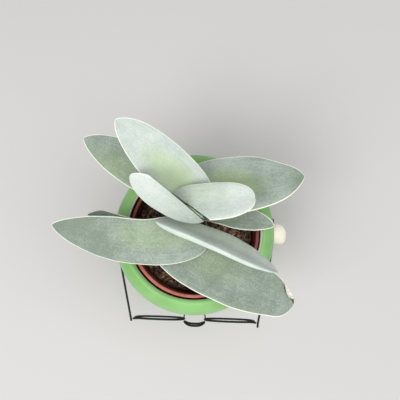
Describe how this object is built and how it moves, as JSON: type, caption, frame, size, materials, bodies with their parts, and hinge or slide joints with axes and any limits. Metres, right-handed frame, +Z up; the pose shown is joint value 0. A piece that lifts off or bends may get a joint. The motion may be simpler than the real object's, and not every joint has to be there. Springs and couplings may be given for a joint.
{
  "type": "potted boomerang crassula",
  "caption": "Potted succulent with sickle-shaped blue-grey leaves stacked in opposite pairs, in a nursery pot inside a round green cachepot with cream ears and wire spectacles.",
  "frame": {"origin": "centre of the cachepot's flat foot, on the surface it stands on", "axes": "+Z up, -Y towards the front with the nose and the spectacles, +X towards the ear that the picture shows"},
  "size_m": [0.1894, 0.1539, 0.1603],
  "materials": {
    "green_ceramic": "matte, slightly sloping green glaze with fine speckle",
    "cream_ceramic": "smooth satin cream",
    "black_wire": "satin black lacquer on round steel wire",
    "terracotta_plastic": "terracotta-coloured, matte with a soft sheen",
    "potting_soil": "dark, crumbly potting soil with pale fibres",
    "stem": "grey-green, dull and faintly ribbed",
    "leaf": "blue-grey green under a pale powdery bloom"
  },
  "bodies": {
    "root": {"cachepot": "green_ceramic", "right_ear": "cream_ceramic", "left_ear": "cream_ceramic", "right_rim": "black_wire", "left_rim": "black_wire", "bridge": "black_wire", "right_arm": "black_wire", "left_arm": "black_wire", "nursery_pot": "terracotta_plastic", "soil": "potting_soil", "stem": "stem", "shoot": "leaf", "leaf_a": "leaf", "leaf_b": "leaf", "leaf_c": "leaf", "leaf_d": "leaf", "leaf_e": "leaf", "leaf_f": "leaf", "leaf_g": "leaf", "leaf_h": "leaf", "leaf_i": "leaf", "leaf_j": "leaf"}
  },
  "joints": []
}
